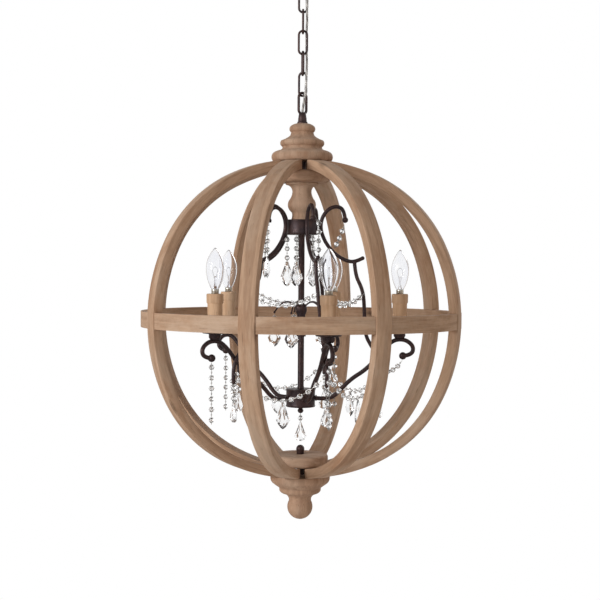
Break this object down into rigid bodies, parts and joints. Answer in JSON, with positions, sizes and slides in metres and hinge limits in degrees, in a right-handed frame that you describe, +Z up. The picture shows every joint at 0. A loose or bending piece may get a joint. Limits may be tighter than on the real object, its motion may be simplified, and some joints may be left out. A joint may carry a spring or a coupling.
{
  "type": "orb chandelier",
  "caption": "Round cage of bent timber ribs on a chain, with turned wooden caps and a scrolled metal candelabra hung with cut glass inside.",
  "frame": {"origin": "on the ceiling, at the middle of the crossbar's two slots", "axes": "+Z up, along the hanging axis; -Y towards the viewer of the picture; +X to the viewer's right"},
  "size_m": [0.5959, 0.5958, 1.0571],
  "materials": {
    "weathered_wood": "turned and bent timber, weathered, matt",
    "candle_wood": "turned candle sleeve, matt",
    "dark_bronze": "dark bronze paint, satin",
    "crystal": "cut clear glass",
    "bulb_glass": "clear lamp glass",
    "zinc_steel": "zinc plated",
    "white_plastic": "moulded",
    "holder_plastic": "moulded phenolic",
    "clear_cord": "clear sheath over tinned cores",
    "lead_plastic": "thin insulation"
  },
  "bodies": {
    "ceiling_fitting": {"ceiling_bracket": "zinc_steel", "stem_nut": "zinc_steel", "canopy": "dark_bronze", "canopy_loop": "dark_bronze", "collar_ring": "dark_bronze", "terminal_block": "white_plastic"},
    "chain": {"chain_links": "dark_bronze", "supply_cord": "clear_cord"},
    "orb": {"top_loop": "dark_bronze", "top_finial": "weathered_wood", "threaded_tube": "dark_bronze", "upper_disc": "weathered_wood", "inner_vase": "weathered_wood", "lower_disc": "weathered_wood", "bottom_stud": "dark_bronze", "bottom_finial": "weathered_wood", "cap_nut": "dark_bronze", "rib_1": "weathered_wood", "rib_2": "weathered_wood", "rib_3": "weathered_wood", "rib_4": "weathered_wood", "rib_5": "weathered_wood", "rib_6": "weathered_wood", "rib_7": "weathered_wood", "rib_8": "weathered_wood", "equator_band": "weathered_wood", "joint_screws": "zinc_steel", "upper_hub": "dark_bronze", "center_rod": "dark_bronze", "rod_crown": "dark_bronze", "lower_hub": "dark_bronze", "hub_finial": "dark_bronze", "candle_arm_1": "dark_bronze", "candle_arm_2": "dark_bronze", "candle_arm_3": "dark_bronze", "candle_arm_4": "dark_bronze", "candle_arm_5": "dark_bronze", "cage_scroll_1": "dark_bronze", "cage_scroll_2": "dark_bronze", "cage_scroll_3": "dark_bronze", "cage_scroll_4": "dark_bronze", "cage_scroll_5": "dark_bronze", "candle_cups": "dark_bronze", "candle_sleeves": "candle_wood", "lamp_sockets": "holder_plastic", "candle_bulbs": "bulb_glass", "lamp_wires": "lead_plastic", "scroll_drops": "crystal", "hub_drops": "crystal", "crown_drops": "crystal", "bead_garlands": "crystal"},
    "arm_string_1": {"arm_string_1": "crystal"},
    "arm_string_2": {"arm_string_2": "crystal"},
    "arm_string_3": {"arm_string_3": "crystal"},
    "arm_string_4": {"arm_string_4": "crystal"},
    "bar_drop_1": {"bar_drop_1": "crystal"},
    "bar_drop_2": {"bar_drop_2": "crystal"},
    "bar_drop_3": {"bar_drop_3": "crystal"},
    "bar_drop_4": {"bar_drop_4": "crystal"},
    "bar_drop_5": {"bar_drop_5": "crystal"}
  },
  "joints": [
    {"name": "chain_swing", "type": "hinge", "parent": "ceiling_fitting", "child": "chain", "pos_m": [0, 0, -0.07315], "axis": [0, 1, 0], "range_deg": [-12, 12]},
    {"name": "orb_swing", "type": "hinge", "parent": "chain", "child": "orb", "pos_m": [0, 0, -0.264], "axis": [0.8829, -0.4695, 0], "range_deg": [-12, 12], "deforming": ["supply_cord"]},
    {"name": "arm_string_swing_1", "type": "hinge", "parent": "orb", "child": "arm_string_1", "pos_m": [0.04931, -0.18401, -0.7548], "axis": [-0.9659, -0.2588, 0], "range_deg": [-12, 16]},
    {"name": "arm_string_swing_2", "type": "hinge", "parent": "orb", "child": "arm_string_2", "pos_m": [0.06827, 0.17785, -0.7548], "axis": [0.9336, -0.3584, 0], "range_deg": [-12, 8]},
    {"name": "arm_string_swing_3", "type": "hinge", "parent": "orb", "child": "arm_string_3", "pos_m": [-0.14805, 0.11989, -0.7548], "axis": [0.6293, 0.7771, 0], "range_deg": [-12, 16]},
    {"name": "arm_string_swing_4", "type": "hinge", "parent": "orb", "child": "arm_string_4", "pos_m": [-0.15977, -0.10375, -0.7548], "axis": [-0.5446, 0.8387, 0], "range_deg": [-12, 16]},
    {"name": "bar_drop_swing_1", "type": "hinge", "parent": "orb", "child": "bar_drop_1", "pos_m": [0.04581, -0.14198, -0.7934], "axis": [0.2588, -0.9659, 0], "range_deg": [-12, 12]},
    {"name": "bar_drop_swing_2", "type": "hinge", "parent": "orb", "child": "bar_drop_2", "pos_m": [0.14919, -0.00031, -0.7934], "axis": [0.9986, -0.0523, 0], "range_deg": [-12, 12]},
    {"name": "bar_drop_swing_3", "type": "hinge", "parent": "orb", "child": "bar_drop_3", "pos_m": [0.04639, 0.14179, -0.7934], "axis": [0.3584, 0.9336, 0], "range_deg": [-12, 12]},
    {"name": "bar_drop_swing_4", "type": "hinge", "parent": "orb", "child": "bar_drop_4", "pos_m": [-0.12051, 0.08794, -0.7934], "axis": [-0.7771, 0.6293, 0], "range_deg": [-12, 12]},
    {"name": "bar_drop_swing_5", "type": "hinge", "parent": "orb", "child": "bar_drop_5", "pos_m": [-0.12088, -0.08744, -0.7934], "axis": [-0.8387, -0.5446, 0], "range_deg": [-12, 12]}
  ]
}
